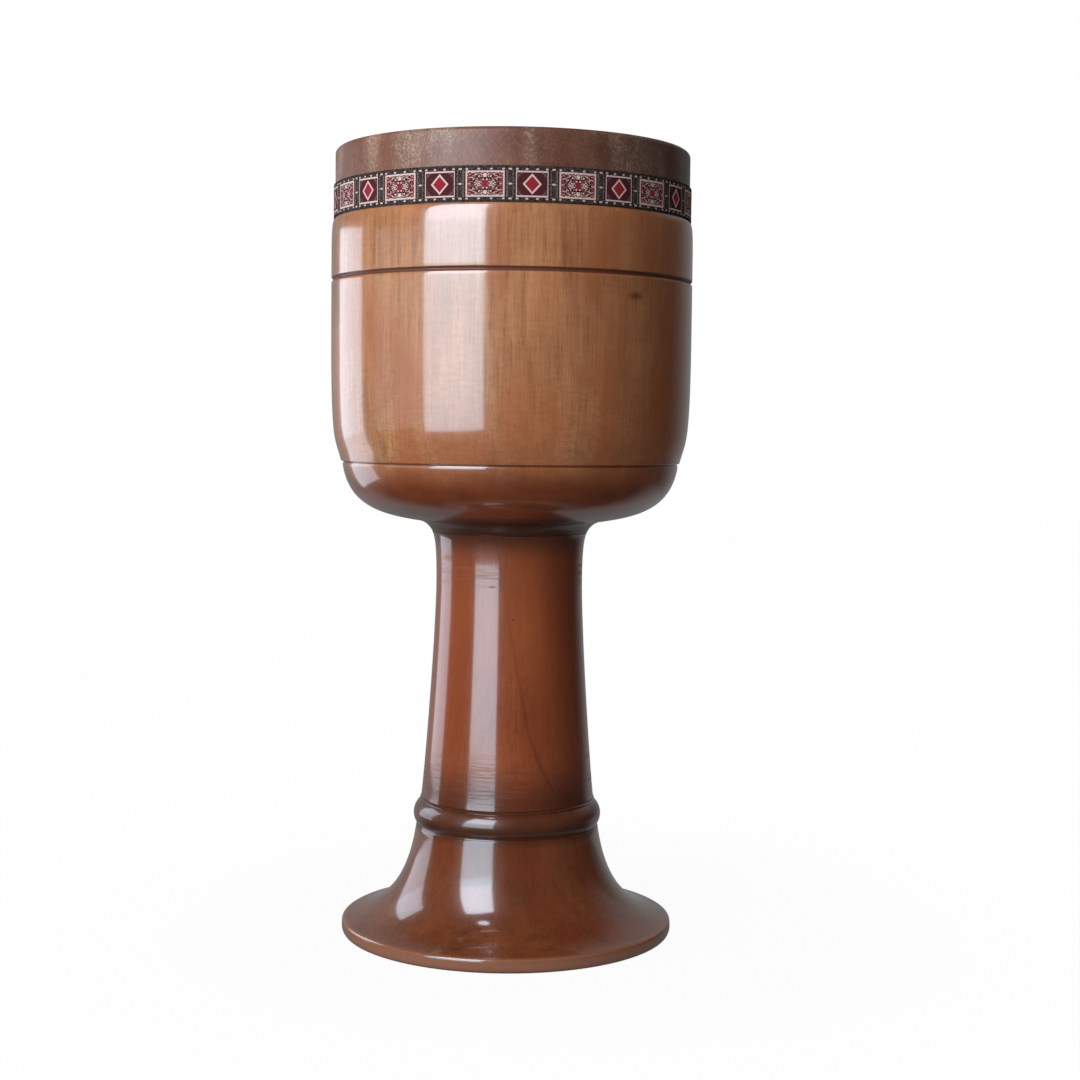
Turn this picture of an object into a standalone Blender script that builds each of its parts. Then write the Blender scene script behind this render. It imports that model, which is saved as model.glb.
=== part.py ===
"""A tombak: a goblet drum with a hide head glued on a turned hardwood body.

Metres, +Z up. The origin is the centre of the foot's flat underside, and +Z is the drum's own axis.
Every piece is turned about that axis: the bell foot takes the neck's spigot, the bowl takes the
neck's tenon, the hide wraps over the bowl's bearing edge and a woven ribbon covers its lower edge.
"""

import math

import bpy
from mathutils import Vector
from mathutils.geometry import interpolate_bezier

# Body, stacked from the ground up
FOOT_HEIGHT = 0.0924          # flat underside to the top of the bead
NECK_LENGTH = 0.1815          # shoulder on the bead to shoulder under the bowl
BOWL_HEIGHT = 0.2542          # face under the bowl to the bearing edge
GLUE_GAP = 0.0003             # glue line, the same at every joint

# Bore
THROAT_RADIUS = 0.034         # bore of the neck
MOUTH_RADIUS = 0.0985         # open end of the bell

# Foot
RIM_RADIUS = 0.1132           # widest, halfway up the rim
RIM_BASE_RADIUS = 0.1108      # where the rounded lower edge meets the ground
RIM_EDGE_RADIUS = 0.1125      # upper edge, where the flare begins
RIM_HEIGHT = 0.0094
RIM_ROUND_HEIGHT = 0.0036     # of the rounded lower edge
RIM_EDGE_BREAK = 0.0007       # height of the softened upper edge
BEAD_LENGTH = 0.0186          # measured down from the top of the foot
BEAD_LOWER_RADIUS = 0.0624
BEAD_UPPER_RADIUS = 0.0597
BEAD_BULGE = 0.0036           # how far the half-round stands out of the line between its edges

# Neck
NECK_BASE_RADIUS = 0.0593
NECK_WAIST_RADIUS = 0.0499
NECK_WAIST_DROP = 0.0322      # waist measured down from the top shoulder
NECK_TOP_RADIUS = 0.0528      # shared with the face under the bowl
SPIGOT_WALL = 0.012           # wood around the throat, in the foot's socket
SPIGOT_LENGTH = 0.020
TENON_WALL = 0.011            # wood around the throat, in the bowl's socket
TENON_LENGTH = 0.016
TENON_CHAMFER = 0.001

# Bowl
BOWL_RADIUS = 0.122
BOWL_WALL = 0.014
FLOOR_THICKNESS = 0.0225      # at the throat, above the face under the bowl
FLOOR_CURVE_HEIGHT = 0.095    # inside, where the rounded floor becomes the straight wall
COVE_RADIUS = 0.0674          # where the cove above the neck becomes the underside
COVE_HEIGHT = 0.0086
LOWER_LINE_RADIUS = 0.1139    # underside at the scribed line
LOWER_LINE_HEIGHT = 0.0463
LOWER_LINE_WIDTH = 0.0016
LOWER_LINE_DEPTH = 0.0009
LOWER_LINE_STEP = 0.0013      # the side above the line stands out by this
STRAIGHT_SIDE_HEIGHT = 0.1355
UPPER_GROOVE_DROP = 0.0402    # its centre, measured down from the rebate
UPPER_GROOVE_WIDTH = 0.0037
UPPER_GROOVE_DEPTH = 0.0009
SHOULDER_LENGTH = 0.0214      # rounded stretch under the rebate
SHOULDER_DROP = 0.0018        # how far the shoulder rounds in
REBATE_LENGTH = 0.0453        # seat of the hide's collar, down from the bearing edge
REBATE_DEPTH = 0.004
BEARING_ROUND = 0.002         # outer edge that the hide bends over
BEARING_WIDTH = 0.006         # rounded edge and flat together
BEARING_BEVEL_HEIGHT = 0.005  # inner bevel

# Hide and ribbon
HIDE_THICKNESS = 0.0012
RIBBON_WIDTH = 0.022
RIBBON_THICKNESS = 0.0008
RIBBON_LIFT = 0.0003          # ribbon's lower edge above the hide's lower edge

# Curves of the outline: the direction at each end in degrees, where 0 is straight out and -90 straight
# down, and the pull of each end as a share of the distance between them
SHOULDER_CURVE = {"leaving": -65, "arriving": -90, "pull": (0.10, 0.90)}
SIDE_CURVE = {"leaving": -90, "arriving": -104, "pull": (0.90, 0.19)}
UNDERSIDE_CURVE = {"leaving": -100, "arriving": -171, "pull": (0.44, 0.41)}
COVE_CURVE = {"leaving": -168, "arriving": -122, "pull": (0.20, 0.55)}
NECK_TOP_CURVE = {"leaving": -110, "arriving": -90, "pull": (0.15, 0.62)}
NECK_CURVE = {"leaving": -90, "arriving": -82, "pull": (0.24, 0.10)}
FLARE_CURVE = {"leaving": -82, "arriving": -12, "pull": (0.55, 0.31)}
BELL_CURVE = {"leaving": 150, "arriving": 92, "pull": (0.35, 0.45)}
FLOOR_CURVE = {"leaving": 8, "arriving": 90, "pull": (0.52, 0.55)}

SEGMENTS = 56                 # facets around every turned piece
SHARP_ANGLE = math.radians(32)

# Heights and radii that neighbours share
NECK_SEAT = FOOT_HEIGHT + GLUE_GAP
BOWL_SEAT = NECK_SEAT + NECK_LENGTH + GLUE_GAP
HIDE_SEAT = BOWL_SEAT + BOWL_HEIGHT + GLUE_GAP
REBATE_RADIUS = BOWL_RADIUS - REBATE_DEPTH
HIDE_INNER_RADIUS = REBATE_RADIUS + GLUE_GAP
HIDE_OUTER_RADIUS = HIDE_INNER_RADIUS + HIDE_THICKNESS
COLLAR_LENGTH = REBATE_LENGTH
SPIGOT_RADIUS = THROAT_RADIUS + SPIGOT_WALL
TENON_RADIUS = THROAT_RADIUS + TENON_WALL


def clear_scene():
    """Start from an empty file."""
    for old in list(bpy.data.objects):
        bpy.data.objects.remove(old, do_unlink=True)


def direction(degrees):
    """Unit vector in the outline's plane."""
    angle = math.radians(degrees)
    return Vector((math.cos(angle), math.sin(angle)))


def sweep(start, end, steps, leaving, arriving, pull):
    """Points of a smooth curve from start to end, without the start itself."""
    start, end = Vector(start), Vector(end)
    distance = (end - start).length
    first_handle = start + direction(leaving) * distance * pull[0]
    last_handle = end - direction(arriving) * distance * pull[1]
    curve = interpolate_bezier(start, first_handle, last_handle, end, steps + 1)
    return [(point.x, point.y) for point in curve[1:]]


def quarter(centre, radius, from_angle, to_angle, steps):
    """Points of a round edge, both ends included. radius holds its reach outwards and upwards."""
    points = []
    for step in range(steps + 1):
        angle = math.radians(from_angle + (to_angle - from_angle) * step / steps)
        points.append((centre[0] + radius[0] * math.cos(angle), centre[1] + radius[1] * math.sin(angle)))
    return points


def half_round(start, end, bulge, steps):
    """Points of a bead: an arc that stands out of the straight line from start to end, ends included."""
    start, end = Vector(start), Vector(end)
    half_chord = (end - start).length / 2
    arc_radius = (half_chord ** 2 + bulge ** 2) / (2 * bulge)
    outwards = Vector((-(end - start).y, (end - start).x)).normalized()
    centre = (start + end) / 2 - outwards * (arc_radius - bulge)
    half_angle = math.asin(half_chord / arc_radius)
    points = []
    for step in range(steps + 1):
        angle = half_angle * (2 * step / steps - 1)
        along = (end - start).normalized() * arc_radius * math.sin(angle)
        point = centre + outwards * arc_radius * math.cos(angle) + along
        points.append((point.x, point.y))
    return points


def wood(name, colour, roughness):
    """Lacquered hardwood."""
    return surface(name, colour, roughness, 0.0)


def surface(name, colour, roughness, metallic):
    """A plain surface of one colour."""
    material = bpy.data.materials.new(name)
    material.use_nodes = True
    shader = material.node_tree.nodes["Principled BSDF"]
    shader.inputs["Base Color"].default_value = (*colour, 1.0)
    shader.inputs["Roughness"].default_value = roughness
    shader.inputs["Metallic"].default_value = metallic
    material.diffuse_color = (*colour, 1.0)
    return material


def turned(name, outline, material, parent, height):
    """Turn an outline of (radius, height) points about +Z and stand it at the given height.

    The outline runs down the outer side. One that starts on the axis also ends there, and any other
    closes on itself.
    """
    count = len(outline)
    on_axis = outline[0][0] == 0.0
    edges = [(i, i + 1) for i in range(count - 1)]
    if not on_axis:
        edges.append((count - 1, 0))
    profile = bpy.data.meshes.new(name)
    profile.from_pydata([(radius, 0.0, z) for radius, z in outline], edges, [])
    piece = bpy.data.objects.new(name, profile)
    parent.users_collection[0].objects.link(piece)
    lathe = piece.modifiers.new("Turned", "SCREW")
    lathe.axis = "Z"
    lathe.angle = 2 * math.pi
    lathe.steps = SEGMENTS
    lathe.render_steps = SEGMENTS
    lathe.use_merge_vertices = True
    lathe.merge_threshold = 0.00001
    shape = bpy.data.meshes.new_from_object(piece.evaluated_get(bpy.context.evaluated_depsgraph_get()))
    piece.modifiers.clear()
    piece.data = shape
    bpy.data.meshes.remove(profile)
    shape.name = name
    shape.shade_smooth()
    shape.set_sharp_from_angle(angle=SHARP_ANGLE)
    shape.materials.append(material)
    piece.parent = parent
    piece.location = (0.0, 0.0, height)
    return piece


def make_foot_bell(parent):
    """Bell foot: bead on top, flared outside and in, with a socket for the neck's spigot."""
    bead_lower = (BEAD_LOWER_RADIUS, FOOT_HEIGHT - BEAD_LENGTH)
    bead_upper = (BEAD_UPPER_RADIUS, FOOT_HEIGHT)
    rim_edge = (RIM_EDGE_RADIUS, RIM_HEIGHT)
    socket_radius = SPIGOT_RADIUS + GLUE_GAP
    socket_floor = NECK_SEAT - SPIGOT_LENGTH - GLUE_GAP
    round_reach = (RIM_RADIUS - RIM_BASE_RADIUS, RIM_ROUND_HEIGHT)
    outline = half_round(bead_upper, bead_lower, BEAD_BULGE, 8)
    outline += sweep(bead_lower, rim_edge, 11, **FLARE_CURVE)
    outline.append((RIM_RADIUS, RIM_HEIGHT - RIM_EDGE_BREAK))
    outline += quarter((RIM_BASE_RADIUS, RIM_ROUND_HEIGHT), round_reach, 0, -90, 3)
    outline.append((MOUTH_RADIUS, 0.0))
    outline += sweep((MOUTH_RADIUS, 0.0), (THROAT_RADIUS, socket_floor), 9, **BELL_CURVE)
    outline.append((socket_radius, socket_floor))
    outline.append((socket_radius, FOOT_HEIGHT))
    return turned("foot_bell", outline, wood("foot_wood", (0.27, 0.08, 0.035), 0.22), parent, 0.0)


def make_neck(parent):
    """Neck: a waisted tube with a spigot below and a tenon above."""
    waist = (NECK_WAIST_RADIUS, NECK_LENGTH - NECK_WAIST_DROP)
    top = NECK_LENGTH + TENON_LENGTH
    outline = [
        (TENON_RADIUS - TENON_CHAMFER, top),
        (TENON_RADIUS, top - TENON_CHAMFER),
        (TENON_RADIUS, NECK_LENGTH),
        (NECK_TOP_RADIUS, NECK_LENGTH),
    ]
    outline += sweep(outline[-1], waist, 4, **NECK_TOP_CURVE)
    outline += sweep(waist, (NECK_BASE_RADIUS, 0.0), 8, **NECK_CURVE)
    outline.append((SPIGOT_RADIUS, 0.0))
    outline.append((SPIGOT_RADIUS, TENON_CHAMFER - SPIGOT_LENGTH))
    outline.append((SPIGOT_RADIUS - TENON_CHAMFER, -SPIGOT_LENGTH))
    outline.append((THROAT_RADIUS, -SPIGOT_LENGTH))
    outline.append((THROAT_RADIUS, top))
    return turned("neck", outline, wood("neck_wood", (0.30, 0.09, 0.04), 0.22), parent, NECK_SEAT)


def upper_groove(centre_height):
    """Shallow flat groove around the side, listed downwards."""
    half = UPPER_GROOVE_WIDTH / 2
    floor_radius = BOWL_RADIUS - UPPER_GROOVE_DEPTH
    slope = UPPER_GROOVE_DEPTH / 2
    return [
        (BOWL_RADIUS, centre_height + half),
        (floor_radius, centre_height + half - slope),
        (floor_radius, centre_height - half + slope),
        (BOWL_RADIUS, centre_height - half),
    ]


def bowl_outside():
    """Outer side from the bearing edge down to the face that meets the neck."""
    rebate_height = BOWL_HEIGHT - REBATE_LENGTH
    shoulder_edge = (BOWL_RADIUS - SHOULDER_DROP, rebate_height)
    shoulder_foot = (BOWL_RADIUS, rebate_height - SHOULDER_LENGTH)
    side_top = (BOWL_RADIUS, STRAIGHT_SIDE_HEIGHT)
    side_foot = (LOWER_LINE_RADIUS + LOWER_LINE_STEP, LOWER_LINE_HEIGHT + LOWER_LINE_WIDTH)
    line_floor = (LOWER_LINE_RADIUS - LOWER_LINE_DEPTH, LOWER_LINE_HEIGHT + LOWER_LINE_WIDTH / 2)
    underside_top = (LOWER_LINE_RADIUS, LOWER_LINE_HEIGHT)
    cove_top = (COVE_RADIUS, COVE_HEIGHT)
    bearing_centre = (REBATE_RADIUS - BEARING_ROUND, BOWL_HEIGHT - BEARING_ROUND)
    outline = quarter(bearing_centre, (BEARING_ROUND, BEARING_ROUND), 90, 0, 3)
    outline.append((REBATE_RADIUS, rebate_height))
    outline.append(shoulder_edge)
    outline += sweep(shoulder_edge, shoulder_foot, 4, **SHOULDER_CURVE)
    outline += upper_groove(rebate_height - UPPER_GROOVE_DROP)
    outline.append(side_top)
    outline += sweep(side_top, side_foot, 6, **SIDE_CURVE)
    outline.append(line_floor)
    outline.append(underside_top)
    outline += sweep(underside_top, cove_top, 9, **UNDERSIDE_CURVE)
    outline += sweep(cove_top, (NECK_TOP_RADIUS, 0.0), 5, **COVE_CURVE)
    return outline


def bowl_inside():
    """Socket for the neck's tenon, throat, rounded floor, wall and bevelled bearing edge, upwards."""
    socket_radius = TENON_RADIUS + GLUE_GAP
    socket_top = TENON_LENGTH
    cavity_radius = BOWL_RADIUS - BOWL_WALL
    bearing_inner = REBATE_RADIUS - BEARING_WIDTH
    floor_edge = (THROAT_RADIUS, FLOOR_THICKNESS)
    outline = [
        (socket_radius, 0.0),
        (socket_radius, socket_top),
        (THROAT_RADIUS, socket_top),
        floor_edge,
    ]
    outline += sweep(floor_edge, (cavity_radius, FLOOR_CURVE_HEIGHT), 9, **FLOOR_CURVE)
    outline.append((cavity_radius, BOWL_HEIGHT - BEARING_BEVEL_HEIGHT))
    outline.append((bearing_inner, BOWL_HEIGHT))
    return outline


def make_bowl(parent):
    """Bowl: the resonating body, with its two turned lines and the rebate for the hide."""
    outline = bowl_outside() + bowl_inside()
    return turned("bowl", outline, wood("bowl_wood", (0.42, 0.18, 0.09), 0.2), parent, BOWL_SEAT)


def make_drumhead(parent):
    """Hide stretched over the bearing edge, its collar glued down in the rebate."""
    round_centre = (REBATE_RADIUS - BEARING_ROUND, -GLUE_GAP - BEARING_ROUND)
    outer_round = HIDE_OUTER_RADIUS - round_centre[0]
    inner_round = HIDE_INNER_RADIUS - round_centre[0]
    collar_bottom = -COLLAR_LENGTH
    outline = [(0.0, HIDE_THICKNESS)]
    outline += quarter(round_centre, (outer_round, outer_round), 90, 0, 4)
    outline.append((HIDE_OUTER_RADIUS, collar_bottom))
    outline.append((HIDE_INNER_RADIUS, collar_bottom))
    outline += quarter(round_centre, (inner_round, inner_round), 0, 90, 4)
    outline.append((0.0, 0.0))
    return turned("drumhead", outline, surface("hide", (0.17, 0.10, 0.075), 0.6, 0.0), parent, HIDE_SEAT)


def make_ribbon(parent):
    """Woven band glued around the collar's lower edge."""
    inner = HIDE_OUTER_RADIUS + GLUE_GAP
    outer = inner + RIBBON_THICKNESS
    seat = HIDE_SEAT - COLLAR_LENGTH + RIBBON_LIFT
    outline = [(outer, RIBBON_WIDTH), (outer, 0.0), (inner, 0.0), (inner, RIBBON_WIDTH)]
    return turned("ribbon", outline, surface("woven", (0.12, 0.025, 0.03), 0.8, 0.0), parent, seat)


def main():
    """Build the drum in its own collection, under one empty at its origin."""
    clear_scene()
    parts = bpy.data.collections.new("tombak")
    bpy.context.scene.collection.children.link(parts)
    drum = bpy.data.objects.new("tombak_origin", None)
    drum.empty_display_size = BOWL_RADIUS
    parts.objects.link(drum)
    make_foot_bell(drum)
    make_neck(drum)
    make_bowl(drum)
    make_drumhead(drum)
    make_ribbon(drum)
    bpy.context.view_layer.update()


main()
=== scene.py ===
import math

import bpy
from mathutils import Matrix, Vector
from mathutils.geometry import interpolate_bezier


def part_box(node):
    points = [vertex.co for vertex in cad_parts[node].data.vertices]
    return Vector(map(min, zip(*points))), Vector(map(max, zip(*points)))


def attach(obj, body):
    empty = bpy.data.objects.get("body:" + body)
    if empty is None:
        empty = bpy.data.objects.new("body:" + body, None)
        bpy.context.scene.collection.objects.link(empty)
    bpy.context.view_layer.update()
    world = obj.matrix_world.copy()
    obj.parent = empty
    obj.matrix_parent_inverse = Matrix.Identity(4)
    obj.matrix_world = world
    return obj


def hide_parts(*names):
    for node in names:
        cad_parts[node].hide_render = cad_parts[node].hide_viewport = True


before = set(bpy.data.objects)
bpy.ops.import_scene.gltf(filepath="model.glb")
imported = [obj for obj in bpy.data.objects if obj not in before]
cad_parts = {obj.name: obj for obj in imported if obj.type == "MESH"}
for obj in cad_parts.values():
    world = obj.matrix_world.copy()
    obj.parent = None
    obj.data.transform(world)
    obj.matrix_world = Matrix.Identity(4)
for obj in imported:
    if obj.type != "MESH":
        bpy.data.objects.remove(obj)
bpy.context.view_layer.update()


# Bell foot: one block of red-brown hardwood, turned inside and out, with a half-round bead on top.
# It is stained, sanded and lacquered outside, and a socket takes the neck's glued spigot.
foot_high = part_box("foot_bell")[1]
foot_top = foot_high[2]
rim_radius = foot_high[0]
rim_edge = (0.1117, 0.0094)
rim_round_height = 0.0038
rim_base_radius = 0.1108
mouth_radius = 0.0985
mouth_rounding = 0.0012
throat_radius = 0.034
spigot_radius = 0.046
spigot_length = 0.020
glue_gap = 0.0003
foot_lip = [(0.0594, foot_top), (0.0599, foot_top - 0.0004), (0.0598, foot_top - 0.0012)]
bead_upper_edge = (0.0594, foot_top - 0.0019)
bead_lower_edge = (0.0617, foot_top - 0.0184)
bead_bulge = 0.0037
flare_edge = (0.0626, foot_top - 0.0198)
flare_rounding = 0.0007
foot_pale = (0.352, 0.093, 0.027)
foot_dark = (0.156, 0.035, 0.009)
foot_red = (0.260, 0.040, 0.010)
foot_patch = (0.380, 0.052, 0.014)
foot_check = (0.030, 0.010, 0.005)
# Colour of the painted shade under, over and on the bead.
foot_painted_shade = (0.050, 0.012, 0.005)
foot_worn_and_sheen = (0.460, 0.170, 0.085)
bare_pale = (0.500, 0.310, 0.170)
bare_dark = (0.340, 0.190, 0.095)


def sweep(start, end, steps, leaving, arriving, pull):
    """Points of a smooth curve after its start. Directions are in degrees, 0 out and -90 down."""
    start, end = Vector(start), Vector(end)
    span = (end - start).length
    handles = []
    for degrees, share in ((leaving, pull[0]), (arriving, pull[1])):
        angle = math.radians(degrees)
        handles.append(Vector((math.cos(angle), math.sin(angle))) * span * share)
    curve = interpolate_bezier(start, start + handles[0], end - handles[1], end, steps + 1)
    return [(point.x, point.y) for point in curve[1:]]


def quarter(centre, reach, from_angle, to_angle, steps):
    """Points of a rounded edge, both ends included."""
    turn_by = math.radians(to_angle - from_angle) / steps
    angles = [math.radians(from_angle) + turn_by * step for step in range(steps + 1)]
    return [(centre[0] + reach[0] * math.cos(a), centre[1] + reach[1] * math.sin(a)) for a in angles]


def half_round(start, end, bulge, steps):
    """Points of a bead's arc from its upper edge to its lower one, ends included."""
    start, end = Vector(start), Vector(end)
    half = (end - start).length / 2
    radius = (half ** 2 + bulge ** 2) / (2 * bulge)
    along = (end - start).normalized()
    outwards = Vector((-along.y, along.x))
    middle = (start + end) / 2 - outwards * (radius - bulge)
    opening = math.asin(half / radius)
    angles = [opening * (2 * step / steps - 1) for step in range(steps + 1)]
    points = [middle + (outwards * math.cos(a) + along * math.sin(a)) * radius for a in angles]
    return [(point.x, point.y) for point in points]


def turn(name, outline, sides=208):
    """A piece turned ring by ring around a closed outline. A ring of almost no radius closes up."""
    crease_angle = 34
    merge_distance = 0.000003
    bpy.ops.object.select_all(action="DESELECT")
    radius, height = outline[0]
    bpy.ops.mesh.primitive_circle_add(vertices=sides, radius=radius, location=(0, 0, height))
    piece = bpy.context.object
    piece.name = name
    bpy.ops.object.mode_set(mode="EDIT")
    bpy.ops.mesh.select_all(action="SELECT")
    for (radius, height), (next_radius, next_height) in zip(outline, outline[1:] + outline[:1]):
        rise = (0, 0, next_height - height)
        bpy.ops.mesh.extrude_region_move(TRANSFORM_OT_translate={"value": rise})
        growth = next_radius / radius
        bpy.ops.transform.resize(value=(growth, growth, 1), center_override=(0, 0, next_height))
    bpy.ops.mesh.select_all(action="SELECT")
    bpy.ops.mesh.remove_doubles(threshold=merge_distance)
    bpy.ops.mesh.delete_loose(use_verts=True, use_edges=True, use_faces=False)
    bpy.ops.mesh.select_all(action="SELECT")
    bpy.ops.mesh.normals_make_consistent(inside=False)
    bpy.ops.object.mode_set(mode="OBJECT")
    bpy.ops.object.transform_apply(location=True, rotation=True, scale=True)
    bpy.ops.object.shade_smooth_by_angle(angle=math.radians(crease_angle))
    return piece


class Amount:
    """A value that varies from place to place. Arithmetic on it adds Math nodes to its tree."""

    def __init__(self, tree, socket):
        self.tree = tree
        self.socket = socket

    def maths(self, operation, *others):
        return self.tree.add("ShaderNodeMath", {"operation": operation}, (self, *others))

    def __add__(self, other):
        return self.maths("ADD", other)

    def __sub__(self, other):
        return self.maths("SUBTRACT", other)

    def __rsub__(self, other):
        return self.tree.add("ShaderNodeMath", {"operation": "SUBTRACT"}, (other, self))

    def __mul__(self, other):
        return self.maths("MULTIPLY", other)

    def __truediv__(self, other):
        return self.maths("DIVIDE", other)

    def __lt__(self, other):
        return self.maths("LESS_THAN", other)

    def __gt__(self, other):
        return self.maths("GREATER_THAN", other)

    def __abs__(self):
        return self.maths("ABSOLUTE")

    __radd__ = __add__
    __rmul__ = __mul__


class Tree:
    """A node tree being wired up."""

    def __init__(self, node_tree):
        self.nodes = node_tree.nodes
        self.links = node_tree.links

    def add(self, kind, settings=None, values=(), output=0):
        """One node of any type, with its settings made first and then the values of its sockets."""
        node = self.nodes.new(kind)
        for name, value in (settings or {}).items():
            if name == "stops":
                for place, colour in value[1:-1]:
                    node.color_ramp.elements.new(place)
                for element, (place, colour) in zip(node.color_ramp.elements, value):
                    element.position = place
                    element.color = (*colour, 1)
            elif name == "interpolation":
                node.color_ramp.interpolation = value
            else:
                setattr(node, name, value)
        for key, value in values.items() if isinstance(values, dict) else enumerate(values):
            self.feed(node.inputs[key], value)
        return Amount(self, node.outputs[output])

    def feed(self, socket, value):
        """A value or a link into one socket."""
        if isinstance(value, Amount):
            self.links.new(value.socket, socket)
        elif socket.type == "RGBA":
            socket.default_value = (*value, 1)
        else:
            socket.default_value = value

    def rise(self, amount, low, high):
        """0 where the amount is low and 1 where it is high, smooth between. low may be the larger."""
        values = {"Value": amount, "From Min": low, "From Max": high}
        return self.add("ShaderNodeMapRange", {"interpolation_type": "SMOOTHSTEP"}, values)

    def mix(self, share, first, second):
        """Two colours mixed by share."""
        values = {"Factor": share, 6: first, 7: second}
        return self.add("ShaderNodeMix", {"data_type": "RGBA"}, values, output=2)

    def axes(self, vector):
        """The x, y and z of a vector."""
        split = self.add("ShaderNodeSeparateXYZ", values=[vector])
        return [Amount(self, socket) for socket in split.socket.node.outputs]

    def length(self, vector):
        """How long a vector is."""
        return self.add("ShaderNodeVectorMath", {"operation": "LENGTH"}, [vector], output="Value")


class Finish(Tree):
    """A material being put together on its Principled shader."""

    def __init__(self, name):
        self.material = bpy.data.materials.new(name)
        self.material.use_nodes = True
        super().__init__(self.material.node_tree)
        self.shader = self.nodes["Principled BSDF"]

    def set(self, **sockets):
        """Values or links on the Principled shader, such as coat_weight=1."""
        for name, value in sockets.items():
            self.feed(self.shader.inputs[name.replace("_", " ").title().replace("Ior", "IOR")], value)

    def emboss(self, height):
        """Fine relief, with its height in metres."""
        values = {"Height": height, "Strength": 1.0, "Distance": 1.0}
        self.set(normal=self.add("ShaderNodeBump", values=values))

    def place(self, scale=(1, 1, 1), shift=(0, 0, 0)):
        """Object coordinates, scaled and then shifted."""
        point = self.add("ShaderNodeTexCoord", output="Object")
        values = {"Vector": point, "Scale": scale, "Location": shift}
        return self.add("ShaderNodeMapping", values=values)

    def noise(self, scale, stretch=(1, 1, 1), detail=3.0, roughness=0.5, shift=(0, 0, 0)):
        """Soft noise around 0.5, scale cells to a metre, finer where stretch is larger."""
        values = {"Vector": self.place(stretch, shift), "Scale": scale}
        values |= {"Detail": detail, "Roughness": roughness}
        return self.add("ShaderNodeTexNoise", values=values)

    def ramp(self, amount, stops, interpolation="LINEAR"):
        """A colour for each amount."""
        settings = {"stops": stops, "interpolation": interpolation}
        return self.add("ShaderNodeValToRGB", settings, [amount])

    def spot(self, centre, size, softness=0.5):
        """1 inside a small ellipsoid and 0 outside it."""
        scale = [1 / length for length in size]
        shift = [-place / length for place, length in zip(centre, size)]
        return self.rise(self.length(self.place(scale, shift)), low=1.0, high=1.0 - softness)


def stained_wood(finish, pale, dark, red):
    """Colour of stained wood: upright fibres, soft bands, faint rings, pores and redder clouds."""
    fibres = finish.noise(430.0, stretch=(1, 1, 0.04), detail=3.0, roughness=0.65)
    bands = finish.noise(90.0, stretch=(1, 1, 0.08), detail=2.0)
    clouds = finish.noise(24.0, stretch=(1, 1, 0.7))
    curl = finish.noise(260.0, stretch=(0.5, 0.5, 1.5), detail=2.0)
    pore_noise = finish.noise(1300.0, stretch=(1, 1, 0.07), detail=1.0)
    pores = finish.rise(pore_noise, low=0.58, high=0.72)
    ring_count = 34.0
    rings = finish.noise(7.0, stretch=(1, 1, 0.25), detail=1.0) * ring_count + fibres * 0.8
    late_rings = finish.rise(rings.maths("FRACT"), low=0.35, high=1.0)
    tone = fibres * 0.58 + bands * 0.42 + clouds * 0.50 + curl * 0.24 - 0.37
    tone = tone - pores * 0.16 - late_rings * 0.055
    colour = finish.ramp(tone, [(0.22, dark), (0.78, pale)])
    blush_noise = finish.noise(34.0, stretch=(1, 1, 0.4), detail=2.0, shift=(3, 1, 2))
    blush = finish.rise(blush_noise, low=0.44, high=0.70)
    return finish.mix(blush * 0.55, colour, red)


def lacquer(finish, colour, tool_marks, unpolished=0.0):
    """Gloss lacquer outside and bare sanded wood inside, where the surface faces the axis."""
    normal = finish.add("ShaderNodeNewGeometry", output="Normal")
    facing = [normal, finish.place(scale=(1, 1, 0))]
    outwards = finish.add("ShaderNodeVectorMath", {"operation": "DOT_PRODUCT"}, facing, "Value")
    bare = outwards < -0.003
    fibres = finish.noise(420.0, stretch=(1, 1, 0.06), detail=4.0, roughness=0.6)
    bare_colour = finish.ramp(fibres, [(0.34, bare_dark), (0.66, bare_pale)])
    finish.set(base_color=finish.mix(bare, colour, bare_colour))
    matt = bare.maths("MAXIMUM", unpolished)
    finish.set(roughness=fibres * 0.10 + matt * 0.34 + 0.24, specular_ior_level=0.6)
    finish.set(coat_weight=1 - matt, coat_roughness=0.10, coat_ior=1.9)
    waves = finish.noise(80.0, stretch=(1, 1, 1.5), detail=2.0) * (0.00005 * tool_marks)
    tool_lines = finish.noise(1.0, stretch=(6, 6, 900), detail=2.0) * (0.000012 * tool_marks)
    finish.emboss(waves + tool_lines + fibres * 0.0000030)


foot_outline = foot_lip + half_round(bead_upper_edge, bead_lower_edge, bead_bulge, steps=22)
foot_outline += quarter((flare_edge[0] - flare_rounding, flare_edge[1]),
                        (flare_rounding, flare_rounding), from_angle=90, to_angle=8, steps=4)
foot_outline += sweep(flare_edge, rim_edge, 44, leaving=-82, arriving=-12, pull=(0.55, 0.31))
foot_outline += sweep(rim_edge, (rim_radius, rim_round_height), 9,
                      leaving=-24, arriving=-90, pull=(0.30, 0.62))
foot_outline += quarter((rim_base_radius, rim_round_height),
                        (rim_radius - rim_base_radius, rim_round_height),
                        from_angle=0, to_angle=-90, steps=9)
foot_outline += quarter((mouth_radius + mouth_rounding, mouth_rounding),
                        (mouth_rounding, mouth_rounding), from_angle=-90, to_angle=-180, steps=4)
foot_outline += sweep((mouth_radius, mouth_rounding), (throat_radius, foot_top - spigot_length), 30,
                      leaving=150, arriving=92, pull=(0.35, 0.45))
foot_outline += [(spigot_radius + glue_gap, foot_top - spigot_length)]
foot_outline += [(spigot_radius + glue_gap, foot_top)]
foot = turn("bell_foot", foot_outline)
foot_finish = Finish("foot lacquer")
foot_colour = stained_wood(foot_finish, foot_pale, foot_dark, foot_red)
red_patch = foot_finish.spot(centre=(0.012, -0.065, 0.055), size=(0.020, 0.030, 0.013),
                             softness=1.0)
foot_colour = foot_finish.mix(red_patch * 0.4, foot_colour, foot_patch)
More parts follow.
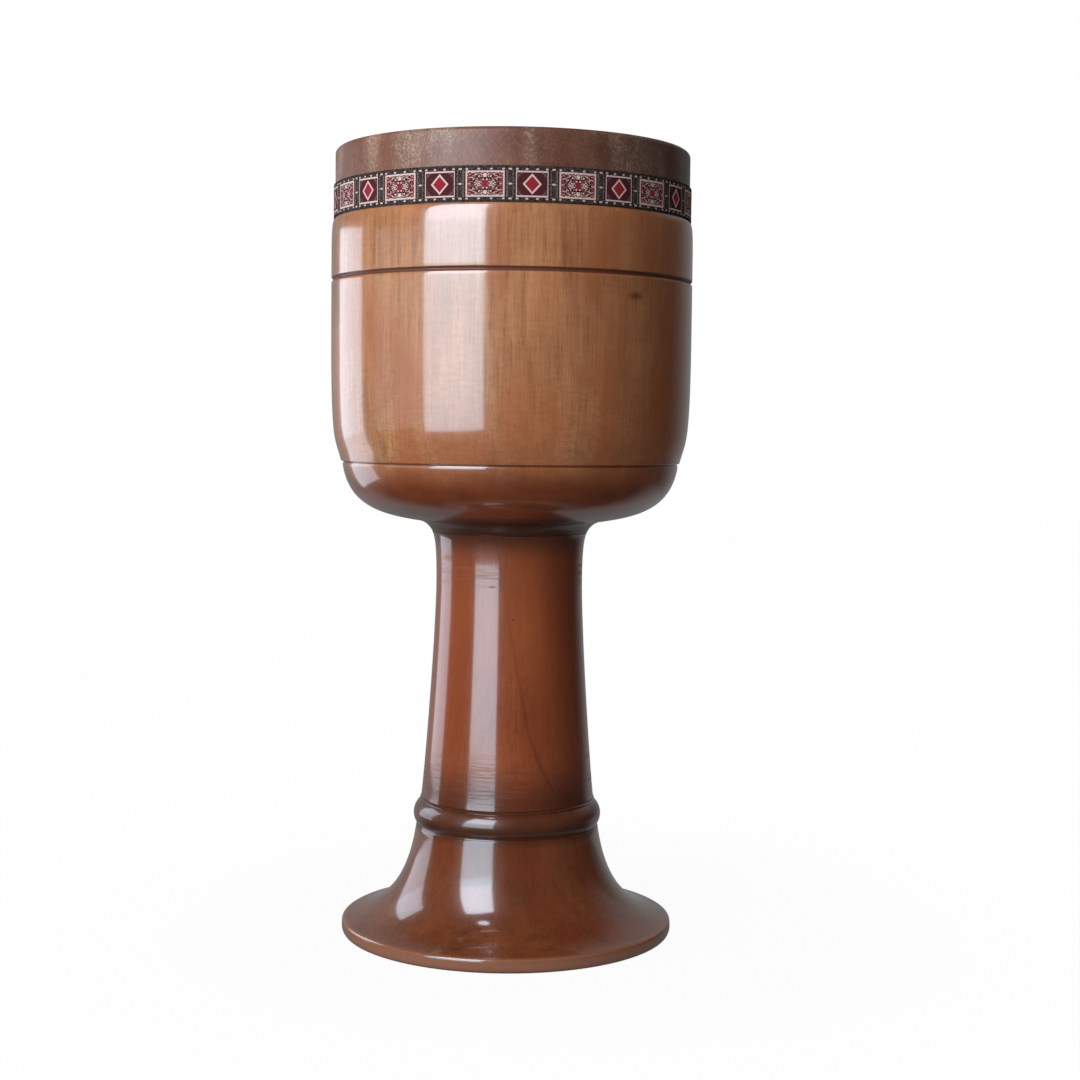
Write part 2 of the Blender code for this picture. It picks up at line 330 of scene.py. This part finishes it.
dark_streak = foot_finish.spot(centre=(0.010, -0.070, 0.060), size=(0.022, 0.060, 0.080),
                               softness=1.0)
foot_colour = foot_finish.mix(dark_streak * 0.5, foot_colour, foot_dark)
pale_side = foot_finish.spot(centre=(0.042, -0.040, 0.085), size=(0.030, 0.060, 0.050),
                             softness=1.0)
foot_colour = foot_finish.mix(pale_side * 0.45, foot_colour, foot_pale)
rim_check = foot_finish.spot(centre=(-0.0017, -0.111, 0.0075), size=(0.00045, 0.006, 0.0050),
                             softness=0.6)
foot_colour = foot_finish.mix(rim_check * 0.85, foot_colour, foot_check)
foot_height = foot_finish.axes(foot_finish.place())[2]
# Painted shade: the foot is darkened under the bead and on the lip above it, and the bead itself is
# painted darker, most on its underside.
under_bead = foot_finish.rise(abs(foot_height - bead_lower_edge[1]), low=0.0065, high=0.0006)
over_bead = foot_finish.rise(foot_height, low=bead_upper_edge[1] - 0.0025, high=bead_upper_edge[1])
painted_shade = under_bead.maths("MAXIMUM", over_bead)
bead_middle = (bead_upper_edge[1] + bead_lower_edge[1]) / 2
on_bead = foot_finish.rise(abs(foot_height - bead_middle), low=0.009, high=0.006)
bead_underside = foot_finish.rise(foot_height, low=bead_middle + 0.003,
                                  high=bead_lower_edge[1] + 0.003)
bead_painted_shade = on_bead * (bead_underside * 0.35 + 0.45)
foot_colour = foot_finish.mix(bead_painted_shade, foot_colour, foot_painted_shade)
foot_colour = foot_finish.mix(painted_shade * 0.50, foot_colour, foot_painted_shade)
# The rim's band is painted lighter: partly wear on the edge, partly a painted sheen of the bright
# floor.
worn_edge_and_sheen = foot_finish.rise(foot_height, low=0.0102, high=0.0088)
worn_edge_and_sheen = worn_edge_and_sheen * foot_finish.rise(foot_height, low=0.0005, high=0.0018)
foot_colour = foot_finish.mix(worn_edge_and_sheen * 0.80, foot_colour, foot_worn_and_sheen)
lacquer(foot_finish, foot_colour, tool_marks=0.1, unpolished=on_bead * 0.22)
foot.data.materials.append(foot_finish.material)
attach(foot, "root")
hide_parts("foot_bell")


# Neck: a waisted tube of the same wood, bored through, with the lathe's finest lines left under the
# lacquer. Its spigot is glued in the foot and its tenon in the bowl.
neck_low, neck_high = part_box("neck")
tenon_length = 0.016
tenon_radius = 0.045
neck_base = neck_low[2] + spigot_length
neck_top = neck_high[2] - tenon_length
neck_base_radius = neck_high[0]
neck_top_radius = 0.0528
waist = (0.0499, neck_top - 0.0322)
neck_pale = (0.510, 0.120, 0.034)
neck_dark = (0.280, 0.054, 0.014)
neck_red = (0.440, 0.080, 0.020)
neck_side_shade = (0.230, 0.042, 0.009)
neck_late_wood = (0.095, 0.022, 0.008)
painted_shade_reach = 0.036
neck_speck = (0.040, 0.012, 0.006)
painted_shade_colour = (0.075, 0.018, 0.007)
growth_line_top = 0.256
growth_line_offset = -0.0069
growth_line_slope = 0.178
growth_line_curve = 4.0
growth_line_straight = 0.10

neck_outline = [(tenon_radius, neck_top + tenon_length), (tenon_radius, neck_top)]
neck_outline += [(neck_top_radius, neck_top)]
neck_outline += sweep((neck_top_radius, neck_top), waist, 16,
                      leaving=-116, arriving=-90, pull=(0.13, 0.62))
neck_outline += sweep(waist, (neck_base_radius, neck_base), 40,
                      leaving=-90, arriving=-82, pull=(0.24, 0.10))
neck_outline += [(spigot_radius, neck_base), (spigot_radius, neck_base - spigot_length)]
neck_outline += [(throat_radius, neck_base - spigot_length)]
neck_outline += [(throat_radius, neck_top + tenon_length)]
neck = turn("waisted_neck", neck_outline)
neck_finish = Finish("neck lacquer")
neck_colour = stained_wood(neck_finish, neck_pale, neck_dark, neck_red)
neck_x, _, neck_z = neck_finish.axes(neck_finish.place())
below_top = growth_line_top - neck_z
bend = (below_top - growth_line_straight).maths("MAXIMUM", 0.0)
growth_line_x = below_top * growth_line_slope + bend * bend * growth_line_curve + growth_line_offset
beside_line = neck_x - growth_line_x
growth_line = neck_finish.rise(abs(beside_line), low=0.0021, high=0.0003)
growth_line = growth_line * neck_finish.rise(neck_z, low=0.262, high=0.170)
late_wood = neck_finish.rise(beside_line, low=0.016, high=0.0) * (beside_line > 0.0)
neck_colour = neck_finish.mix(growth_line * 0.30 + late_wood * 0.06, neck_colour, neck_late_wood)
# Painted shade: the neck's right side, away from the lamps, is darker, more so higher up.
side_shade_share = neck_finish.rise(neck_z, low=0.12, high=0.30) * 0.35 + 0.45
shaded_side = neck_finish.rise(neck_x, low=0.013, high=0.048) * side_shade_share
neck_colour = neck_finish.mix(shaded_side, neck_colour, neck_side_shade)
pale_flame = neck_finish.spot(centre=(0.012, -0.050, 0.215), size=(0.022, 0.030, 0.065),
                              softness=1.0)
neck_colour = neck_finish.mix(pale_flame * 0.45, neck_colour, neck_pale)
# Painted shade: the neck's left side is darkened a little against the light from the left lamps.
left_painted_shade = neck_finish.rise(neck_x, low=-0.016, high=-0.038) * 0.35
neck_colour = neck_finish.mix(left_painted_shade, neck_colour, neck_dark)
dark_speck = neck_finish.spot(centre=(0.0027, -0.0504, 0.2189), size=(0.0012, 0.0020, 0.0010))
dark_dash = neck_finish.spot(centre=(-0.0113, -0.0486, 0.2404), size=(0.0030, 0.0030, 0.0007))
dark_marks = dark_speck.maths("MAXIMUM", dark_dash)
neck_colour = neck_finish.mix(dark_marks * 0.6, neck_colour, neck_speck)
# Painted shade: the neck is darkened towards its base over the bead and at its top under the bowl's
# cove.
shade_at_neck_base = neck_finish.rise(neck_z, low=neck_base + painted_shade_reach, high=neck_base + 0.002) * 0.68
shade_at_neck_top = neck_finish.rise(neck_z, low=neck_top - 0.018, high=neck_top) * 0.7
painted_shade = shade_at_neck_base.maths("MAXIMUM", shade_at_neck_top)
neck_colour = neck_finish.mix(painted_shade, neck_colour, painted_shade_colour)
rubbed_low = neck_finish.rise(abs(neck_z - 0.112), low=0.022, high=0.008)
rubbed_high = neck_finish.rise(abs(neck_z - 0.251), low=0.016, high=0.005)
scratch_noise = neck_finish.noise(1.0, stretch=(40, 40, 1000), detail=2.0)
scratches = neck_finish.rise(scratch_noise, low=0.50, high=0.62)
scratches = scratches * rubbed_low.maths("MAXIMUM", rubbed_high) * 0.55
scratches = scratches.maths("MAXIMUM", dark_dash * 0.8)
lacquer(neck_finish, neck_colour, tool_marks=1.0, unpolished=scratches)
neck.data.materials.append(neck_finish.material)
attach(neck, "root")
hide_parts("neck")


# Bowl: the resonating body, a paler piece of hardwood turned to a wall of 14 mm, with a V groove near
# the top and a scribed line low down. A rebate under its bearing edge takes the hide's collar.
bowl_low, bowl_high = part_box("bowl")
bowl_radius = bowl_high[0]
bowl_foot = bowl_low[2]
bearing_edge = bowl_high[2]
bearing_rounding = 0.002
bearing_bevel = (0.006, 0.005)
rebate = bearing_edge - 0.0453
rebate_radius = bowl_radius - 0.004
cavity_radius = bowl_radius - 0.014
shoulder_edge = (bowl_radius - 0.0018, rebate)
shoulder_foot = rebate - 0.0214
groove_height = rebate - 0.0402
groove_width = 0.0037
groove_depth = 0.0013
groove_margin = 0.0018
groove_lip_depth = 0.00015
side_top = (bowl_radius, bowl_foot + 0.1355)
line_height = bowl_foot + 0.0463
line_width = 0.0016
line_depth = 0.0007
line_radius = 0.1139
line_lip = 0.0036
line_lip_middle = line_height - 0.0012
line_lip_foot = line_height - 0.0019
side_foot = (line_radius + 0.0013, line_height + line_width)
cove_edge = (0.0674, bowl_foot + 0.0086)
floor_height = bowl_foot + 0.0225
cavity_foot = bowl_foot + 0.095
bowl_pale = (0.800, 0.345, 0.145)
bowl_dark = (0.370, 0.128, 0.046)
bowl_red = (0.540, 0.138, 0.042)
bowl_side_shade = (0.370, 0.085, 0.020)
bowl_knot = (0.150, 0.034, 0.011)
groove_painted_shade = (0.120, 0.027, 0.010)
underside_pale = (0.300, 0.060, 0.013)
underside_dark = (0.180, 0.031, 0.006)

bearing_round = (rebate_radius - bearing_rounding, bearing_edge - bearing_rounding)
bowl_outline = quarter(bearing_round, (bearing_rounding, bearing_rounding),
                       from_angle=90, to_angle=0, steps=6)
bowl_outline += [(rebate_radius, rebate), shoulder_edge]
bowl_outline += sweep(shoulder_edge, (bowl_radius, shoulder_foot), 14,
                      leaving=-65, arriving=-90, pull=(0.10, 0.90))
for side in (1, -1):
    edge = groove_height + side * groove_width / 2
    flank = [(bowl_radius, edge + side * groove_margin), (bowl_radius, edge - side * 0.0001)]
    flank += [(bowl_radius - groove_lip_depth, edge - side * 0.0004)]
    flank += [(bowl_radius - groove_depth, groove_height + side * 0.0003)]
    bowl_outline += flank[::side]
bowl_outline.append(side_top)
bowl_outline += sweep(side_top, side_foot, 26, leaving=-90, arriving=-104, pull=(0.90, 0.19))
bowl_outline += [(side_foot[0] - 0.0004, side_foot[1] - 0.0003)]
bowl_outline += [(line_radius - line_depth, line_height + line_width / 2)]
bowl_outline += quarter((line_radius - line_lip, line_lip_middle), (line_lip, line_lip),
                        from_angle=30, to_angle=-8, steps=6)
bowl_outline += sweep((line_radius, line_lip_foot), cove_edge, 40,
                      leaving=-100, arriving=-171, pull=(0.44, 0.41))
bowl_outline += sweep(cove_edge, (neck_top_radius, bowl_foot), 16,
                      leaving=-168, arriving=-116, pull=(0.20, 0.55))
bowl_outline += [(tenon_radius + glue_gap, bowl_foot)]
bowl_outline += [(tenon_radius + glue_gap, bowl_foot + tenon_length)]
bowl_outline += [(throat_radius, bowl_foot + tenon_length), (throat_radius, floor_height)]
bowl_outline += sweep((throat_radius, floor_height), (cavity_radius, cavity_foot), 26,
                      leaving=8, arriving=90, pull=(0.52, 0.55))
bowl_outline += [(cavity_radius, bearing_edge - bearing_bevel[1])]
bowl_outline += [(rebate_radius - bearing_bevel[0], bearing_edge)]
bowl = turn("resonating_bowl", bowl_outline)
bowl_finish = Finish("bowl lacquer")
bowl_across, _, bowl_height = bowl_finish.axes(bowl_finish.place())
side_colour = stained_wood(bowl_finish, bowl_pale, bowl_dark, bowl_red)
fleck_noise = bowl_finish.noise(420.0, stretch=(0.4, 0.4, 1.5), detail=2.0)
flecks = bowl_finish.rise(fleck_noise, low=0.50, high=0.64)
flecks = flecks * bowl_finish.rise(bowl_height, low=0.42, high=0.345)
side_colour = bowl_finish.mix(flecks * 0.34, side_colour, bowl_dark)
# Painted shade: the bowl's right side, away from the lamps, is darker.
shaded_side = bowl_finish.rise(bowl_across, low=-0.005, high=0.110)
side_colour = bowl_finish.mix(shaded_side * 0.52, side_colour, bowl_side_shade)
# Below the scribed line the colour turns darker and redder towards the underside, in soft blotches.
underside_tone = bowl_finish.noise(60.0, stretch=(1, 1, 2), detail=4.0)
underside_tone = bowl_finish.ramp(underside_tone, [(0.15, underside_dark), (0.85, underside_pale)])
uneven_height = bowl_height + bowl_finish.noise(40.0) * 0.010 - 0.005
under = bowl_finish.rise(uneven_height, low=line_height + 0.010, high=line_height - 0.018)
bowl_colour = bowl_finish.mix(under, side_colour, underside_tone)
# Painted shade in the V groove and in the scribed line.
from_groove = abs(bowl_height - groove_height)
half_groove = groove_width / 2
in_groove = bowl_finish.rise(from_groove, low=half_groove - 0.0001, high=half_groove - 0.0006)
from_line = abs(bowl_height - line_height - line_width / 2)
in_line = bowl_finish.rise(from_line, low=0.0010, high=0.0005)
# Painted shade in the cove under the bowl, where it meets the neck.
cove = bowl_finish.rise(bowl_height, low=cove_edge[1] + 0.016, high=cove_edge[1] - 0.002)
bowl_colour = bowl_finish.mix(cove * 0.88, bowl_colour, painted_shade_colour)
in_lines = (in_groove * 0.9).maths("MAXIMUM", in_line * 0.45)
bowl_colour = bowl_finish.mix(in_lines, bowl_colour, groove_painted_shade)
knot = bowl_finish.spot(centre=(0.0782, -0.0937, 0.4291), size=(0.0095, 0.0095, 0.0038),
                        softness=1.0)
bowl_colour = bowl_finish.mix(knot * 0.80, bowl_colour, bowl_knot)
unpolished = (in_groove * 0.8).maths("MAXIMUM", cove * 0.55)
lacquer(bowl_finish, bowl_colour, tool_marks=0.6, unpolished=unpolished)
bowl.data.materials.append(bowl_finish.material)
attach(bowl, "root")
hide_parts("bowl")


# Drumhead: one brown hide, soaked, stretched over the bearing edge and glued down around the rebate.
# It dries drum-tight and satin, and scraping has left clusters of pale fibres in it.
hide_low, hide_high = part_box("drumhead")
hide_radius = hide_high[0]
hide_top = hide_high[2]
hide_seat = bearing_edge + glue_gap
hide_inner_radius = rebate_radius + glue_gap
pole_radius = 0.000001
hide_rings = 24
collar_rings = 20
hide_brown = (0.300, 0.108, 0.058)
hide_dark = (0.185, 0.060, 0.031)
hide_fibre = (0.640, 0.460, 0.330)
hide_shadow = (0.085, 0.029, 0.015)

round_radius, collar_top = bearing_round
collar_step = (hide_low[2] - collar_top) / collar_rings
outer_reach = (hide_radius - round_radius, hide_top - collar_top)
inner_reach = (hide_inner_radius - round_radius, hide_seat - collar_top)
hide_outline = []
for ring in range(hide_rings):
    hide_outline.append((pole_radius + round_radius * ring / hide_rings, hide_top))
hide_outline += quarter(bearing_round, outer_reach, from_angle=90, to_angle=0, steps=10)
for ring in range(1, collar_rings + 1):
    hide_outline.append((hide_radius, collar_top + collar_step * ring))
hide_outline += [(hide_inner_radius, hide_low[2])]
hide_outline += quarter(bearing_round, inner_reach, from_angle=0, to_angle=90, steps=6)
hide_outline += [(pole_radius, hide_seat)]
hide = turn("hide_head", hide_outline)

hide_finish = Finish("satin hide")
ground = hide_finish.noise(38.0, stretch=(1, 1, 0.8), detail=4.0, roughness=0.55)
grain = hide_finish.noise(900.0, detail=2.0)
clusters = hide_finish.noise(36.0, stretch=(1, 1, 0.35), detail=3.0, shift=(0, 0, 4))
clusters = hide_finish.rise(clusters, low=0.42, high=0.64)
scrapes = hide_finish.noise(800.0, stretch=(1, 1, 0.7), detail=3.0, roughness=0.7)
scrapes = hide_finish.rise(scrapes, low=0.44, high=0.68)
fibres = clusters * (scrapes * 0.50 + 0.16) + scrapes * 0.14
hide_colour = hide_finish.ramp(ground, [(0.36, hide_dark), (0.64, hide_brown)])
hide_across = hide_finish.axes(hide_finish.place())[0]
right_side = hide_finish.rise(hide_across, low=-0.020, high=0.110)
hide_colour = hide_finish.mix(right_side * 0.75, hide_colour, hide_shadow)
fibres = fibres * (1 - right_side * 0.60)
hide_finish.set(base_color=hide_finish.mix(fibres, hide_colour, hide_fibre))
hide_finish.set(roughness=grain * 0.16 + 0.45, specular_ior_level=0.2)
hide_finish.set(coat_weight=0.85, coat_roughness=0.36, coat_ior=1.5)
hide_finish.emboss(grain * 0.000018 + scrapes * clusters * 0.00003 + ground * 0.0003)
hide.data.materials.append(hide_finish.material)
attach(hide, "root")
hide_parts("drumhead")


# Ribbon: a jacquard band 22 mm wide, woven in black, red and white, glued around the collar over the
# hide's lower edge. Panels with a diamond and panels with a small carpet figure take turns along it.
ribbon_low, ribbon_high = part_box("ribbon")
ribbon_radius = ribbon_high[0]
ribbon_bottom = ribbon_low[2]
ribbon_top = ribbon_high[2]
ribbon_width = ribbon_top - ribbon_bottom
ribbon_thickness = 0.0008
ribbon_edge = 0.0003
ribbon_rings = 12
ribbon_sides = 416
thread_pitch = 0.00055
repeats = 13
first_diamond = math.radians(5.6)
pattern_middle = ribbon_bottom + 0.0107
stitch_mm = 0.5
panel_half_height_mm = 7.8
frame_line_mm = 0.8
diamond_panel_mm = 10.1
carpet_panel_mm = 12.0
gap_middle_mm = 13.6
dot_row_mm = 9.15
diamond_half_height_mm = 6.4
diamond_line_mm = 1.6
diamond_narrowing = 1.08
corner_mark_mm = 13.9
corner_mark_reach_mm = 1.3
dot_reach_mm = 0.75
gap_dot_reach_mm = 0.9
speckle_mm = 0.56
yarn_black = (0.036, 0.020, 0.017)
yarn_maroon = (0.095, 0.016, 0.018)
yarn_deep_red = (0.230, 0.018, 0.024)
yarn_red = (0.400, 0.020, 0.034)
yarn_white = (0.880, 0.600, 0.520)
yarn_olive = (0.270, 0.205, 0.165)
yarn_shade = (0.020, 0.012, 0.012)

inner_wall = ribbon_radius - ribbon_thickness
edge_reach = (ribbon_edge, ribbon_edge)
ribbon_outline = quarter((ribbon_radius - ribbon_edge, ribbon_top - ribbon_edge), edge_reach,
                         from_angle=90, to_angle=0, steps=3)
for ring in range(1, ribbon_rings):
    ribbon_outline.append((ribbon_radius, ribbon_top - ribbon_width * ring / ribbon_rings))
ribbon_outline += quarter((ribbon_radius - ribbon_edge, ribbon_bottom + ribbon_edge), edge_reach,
                          from_angle=0, to_angle=-90, steps=3)
ribbon_outline += [(inner_wall, ribbon_bottom), (inner_wall, ribbon_top)]
ribbon = turn("woven_ribbon", ribbon_outline, ribbon_sides)


def woven_pattern(finish):
    """Colour of the band and the share of raised yarn, worked out in millimetres and stitches."""
    x, y, z = finish.axes(finish.place())
    bearing = x.maths("ARCTAN2", 0 - y)
    repeat_mm = 2 * math.pi * ribbon_radius * 1000 / repeats
    turns = (bearing - first_diamond) * (repeats / (2 * math.pi)) + 100.5
    across_mm = abs(turns.maths("FRACT") - 0.5) * repeat_mm
    away_mm = abs(z - pattern_middle) * 1000
    from_diamond = ((across_mm / stitch_mm).maths("FLOOR") + 0.5) * stitch_mm
    away = ((away_mm / stitch_mm).maths("FLOOR") + 0.5) * stitch_mm
    from_carpet = repeat_mm / 2 - from_diamond
    from_gap = abs(from_diamond - gap_middle_mm)

    def panel(across, half_length, inset=0.0):
        return (across < half_length - inset) * (away < panel_half_height_mm - inset)

    def near(value, target, reach):
        return abs(value - target) < reach

    def either(*masks):
        joined = masks[0]
        for mask in masks[1:]:
            joined = joined.maths("MAXIMUM", mask)
        return joined

    diamond_field = panel(from_diamond, diamond_panel_mm)
    carpet_field = panel(from_carpet, carpet_panel_mm)
    frames = diamond_field - panel(from_diamond, diamond_panel_mm, frame_line_mm)
    frames = frames + carpet_field - panel(from_carpet, carpet_panel_mm, frame_line_mm)
    lozenge = across_mm * diamond_narrowing + away_mm
    core_half_height_mm = diamond_half_height_mm - diamond_line_mm
    lozenge_line = (lozenge < diamond_half_height_mm) * (lozenge > core_half_height_mm)
    corner_marks = diamond_field * near(lozenge, target=corner_mark_mm, reach=corner_mark_reach_mm)
    diamond_dots = near(abs(from_diamond - 6.3), target=3.15, reach=dot_reach_mm)
    carpet_dots = near(abs(from_carpet - 7.45), target=3.73, reach=dot_reach_mm)
    gap_dots = from_gap < gap_dot_reach_mm
    dots = either(diamond_dots, carpet_dots, gap_dots) * near(away, dot_row_mm, reach=0.55)
    gap_dot = gap_dots * (away < 0.6)
    gap_threads = near(from_gap, target=1.9, reach=0.4) * (away < panel_half_height_mm)
    gap_threads = gap_threads * ((away / 1.1).maths("FRACT") < 0.5)
    cell_x = (from_carpet / speckle_mm).maths("FLOOR")
    cell_y = (away / speckle_mm).maths("FLOOR")
    cell = finish.add("ShaderNodeCombineXYZ", values={"X": cell_x, "Y": cell_y})
    chance = finish.add("ShaderNodeTexWhiteNoise", {"noise_dimensions": "2D"}, [cell])
    speckle_stops = [(0.0, yarn_black), (0.22, yarn_white), (0.42, yarn_maroon)]
    speckle_stops += [(0.58, yarn_olive), (0.76, yarn_deep_red)]
    speckle = finish.ramp(chance, speckle_stops, "CONSTANT")
    carpet_sides = (from_carpet > 8.6) * (chance > 0.35)
    carpet_cross = (from_carpet * 1.5 + away) < 2.6
    carpet_buds = (from_carpet < 1.2) * near(away, target=4.9, reach=0.9) * carpet_field

    ground_specks = (chance > 0.62) * 0.30
    colour = finish.mix(either(gap_threads, ground_specks), yarn_black, yarn_olive)
    colour = finish.mix(diamond_field, colour, yarn_maroon)
    colour = finish.mix(corner_marks * (chance > 0.45) * 0.5, colour, yarn_olive)
    colour = finish.mix(lozenge < core_half_height_mm, colour, yarn_deep_red)
    colour = finish.mix(lozenge < core_half_height_mm - 0.5, colour, yarn_red)
    colour = finish.mix(carpet_field, colour, speckle)
    carpet_red = carpet_field * either(carpet_sides * 0.6, carpet_cross)
    colour = finish.mix(carpet_red, colour, yarn_red)
    white = either(frames, dots, gap_dot, lozenge_line, carpet_buds)
    return finish.mix(white, colour, yarn_white), white


ribbon_finish = Finish("jacquard weave")
pattern, raised = woven_pattern(ribbon_finish)
thread_x, thread_y, thread_z = ribbon_finish.axes(ribbon_finish.place())
around = thread_x.maths("ARCTAN2", 0 - thread_y) * ribbon_radius
warp = (around * (2 * math.pi / thread_pitch)).maths("SINE")
weft = (thread_z * (2 * math.pi / thread_pitch)).maths("SINE")
wear = ribbon_finish.noise(260.0)
shade = warp * weft * 0.08 + wear * 0.14
ribbon_finish.set(base_color=ribbon_finish.mix(shade, pattern, yarn_shade))
ribbon_finish.set(roughness=wear * 0.15 + 0.75, specular_ior_level=0.15)
ribbon_finish.emboss(warp * weft * 0.00003 + raised * 0.00008)
ribbon.data.materials.append(ribbon_finish.material)
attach(ribbon, "root")
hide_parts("ribbon")


# Studio: a floor and surround, white to the camera, dimmer as plain light and nearly dark in the
# lacquer's mirror. A tall softbox in three parts stands at the front left and a small one in two
# parts at the rear left. A dim card close on the left lights all but the foot. A round lamp hangs
# high up.
white = (1.0, 1.0, 1.0)
black = (0.0, 0.0, 0.0)
floor_size = 9
floor_setback = 1.5
floor_drop = 0.0002
floor_plain_tone = 0.45
floor_seen_tone = 0.80
floor_mirrored_tone = 0.03
surround_plain = 0.18
front_left = {"bearing": -34.8, "distance": 1.3, "width": 0.88}
rear_left = {"bearing": -115.2, "distance": 0.7, "width": 0.38}

bpy.ops.object.select_all(action="DESELECT")
bpy.ops.mesh.primitive_plane_add(size=floor_size, location=(0, floor_setback, -floor_drop))
floor = bpy.context.object
floor.name = "studio_floor"
bpy.ops.object.transform_apply(location=True, rotation=True, scale=True)
floor_finish = Finish("floor white")
seen = floor_finish.add("ShaderNodeLightPath", output="Is Camera Ray")
mirrored = floor_finish.add("ShaderNodeLightPath", output="Is Glossy Ray")
floor_tone = seen * (floor_seen_tone - floor_plain_tone) + floor_plain_tone
floor_tone = floor_tone - mirrored * (floor_plain_tone - floor_mirrored_tone)
floor_finish.set(base_color=floor_finish.mix(floor_tone, black, white))
floor_finish.set(roughness=0.9, specular_ior_level=0.0)
from_drum = floor_finish.length(floor_finish.place())
behind_drum = floor_finish.axes(floor_finish.place())[1] / from_drum
seen_glow = floor_finish.rise(from_drum, low=0.12, high=0.5) * 0.03 + 0.96
near_glow = floor_finish.rise(from_drum, low=0.19, high=0.13) * 0.11
behind = behind_drum + floor_finish.rise(from_drum, low=1.2, high=0.5) * 0.30
behind_glow = floor_finish.rise(behind, low=0.45, high=1.0) * 0.23
mirrored_glow = near_glow.maths("MAXIMUM", behind_glow) + 0.01
floor_glow = floor_finish.add("ShaderNodeEmission", values={"Color": white, "Strength": 1.0})
glow_share = (seen * seen_glow + mirrored * mirrored_glow).maths("MINIMUM", 1.0)
lit_floor = Amount(floor_finish, floor_finish.shader.outputs[0])
floor_look = floor_finish.add("ShaderNodeMixShader", values=[glow_share, lit_floor, floor_glow])
floor_finish.feed(floor_finish.nodes["Material Output"].inputs["Surface"], floor_look)
floor.data.materials.append(floor_finish.material)

world = bpy.data.worlds.new("white surround")
bpy.context.scene.world = world
world.use_nodes = True
surround = Tree(world.node_tree)
world_seen = surround.add("ShaderNodeLightPath", output="Is Camera Ray")
world_mirrored = surround.add("ShaderNodeLightPath", output="Is Glossy Ray")
_, sky_y, sky_z = surround.axes(surround.add("ShaderNodeTexCoord", output="Generated"))
low_backdrop = surround.rise(sky_y, low=0.45, high=1.0) * surround.rise(sky_z, low=0.75, high=0.30)
high_backdrop = surround.rise(sky_y, low=0.10, high=0.80) * surround.rise(sky_z, low=0.15, high=0.35)
high_backdrop = high_backdrop * surround.rise(sky_z, low=0.85, high=0.50)
surround_mirrored = (low_backdrop * 0.23).maths("MAXIMUM", high_backdrop * 0.20) + 0.012
unseen = world_mirrored * (surround_mirrored - surround_plain) + surround_plain
surround.feed(surround.nodes["Background"].inputs["Strength"], world_seen * (1 - unseen) + unseen)
surround.feed(surround.nodes["Background"].inputs["Color"], white)


def lamp(name, shape, width, height, level, tint, location, tilt):
    """An area lamp of a given radiance that isn't seen by the camera."""
    light = bpy.data.lights.new(name, "AREA")
    light.shape = shape
    light.size = width
    light.size_y = height
    light.energy = level * math.pi * width * height
    light.color = tint
    holder = bpy.data.objects.new(name, light)
    holder.location = location
    holder.rotation_euler = tilt
    holder.visible_camera = False
    bpy.context.scene.collection.objects.link(holder)
    return holder


def softbox(name, bearing, distance, width, bottom, top, level, tint):
    """An upright panel of light facing the drum, its bearing in degrees to the camera's right."""
    angle = math.radians(bearing)
    place = (distance * math.sin(angle), -distance * math.cos(angle), (bottom + top) / 2)
    upright = (math.radians(90), 0, angle)
    return lamp(name, "RECTANGLE", width, top - bottom, level, tint, place, upright)


softbox("front_softbox_low", **front_left, bottom=0.07, top=0.54,
        level=3.3, tint=(0.66, 0.83, 0.96))
softbox("front_softbox_middle", **front_left, bottom=0.54, top=0.69,
        level=4.7, tint=(0.62, 0.84, 0.99))
softbox("front_softbox_high", **front_left, bottom=0.69, top=1.92,
        level=5.6, tint=(0.80, 0.87, 1.0))
softbox("rear_softbox_low", **rear_left, bottom=0.035, top=0.25,
        level=1.6, tint=(0.80, 0.88, 1.0))
softbox("rear_softbox_high", **rear_left, bottom=0.25, top=0.56,
        level=2.3, tint=(0.76, 0.86, 1.0))
card = softbox("left_card", bearing=-68.0, distance=0.47, width=0.27, bottom=0.28, top=0.52,
               level=0.48, tint=(0.76, 0.95, 1.0))
lit_by_card = bpy.data.collections.new("lit_by_left_card")
for piece in (neck, bowl, hide, ribbon):
    lit_by_card.objects.link(piece)
card.light_linking.receiver_collection = lit_by_card
lamp("ceiling_lamp", "ELLIPSE", width=0.26, height=0.26, level=4.5, tint=(0.84, 0.88, 1.0),
     location=(-0.49, -0.585, 2.0), tilt=(0, 0, 0))


# Camera: at the photograph's height and distance, tilted a little down and rolled a little, so that
# the drum leans in the frame as it does there.
camera_lens = 61.8
camera_distance = 1.2676
camera_height = 0.3454
camera_yaw = -0.0164
camera_pitch = -0.0603
camera_roll = -0.0107

camera_data = bpy.data.cameras.new("camera")
camera_data.sensor_width = 36
camera_data.lens = camera_lens
camera = bpy.data.objects.new("camera", camera_data)
bpy.context.scene.collection.objects.link(camera)
bpy.context.scene.camera = camera
camera_matrix = Matrix.Translation((0, -camera_distance, camera_height))
for turned, axis in ((camera_yaw, "Z"), (camera_pitch, "X"), (camera_roll, "Y"), (math.pi / 2, "X")):
    camera_matrix = camera_matrix @ Matrix.Rotation(turned, 4, axis)
camera.matrix_world = camera_matrix

bpy.context.scene.view_settings.view_transform = "Standard"
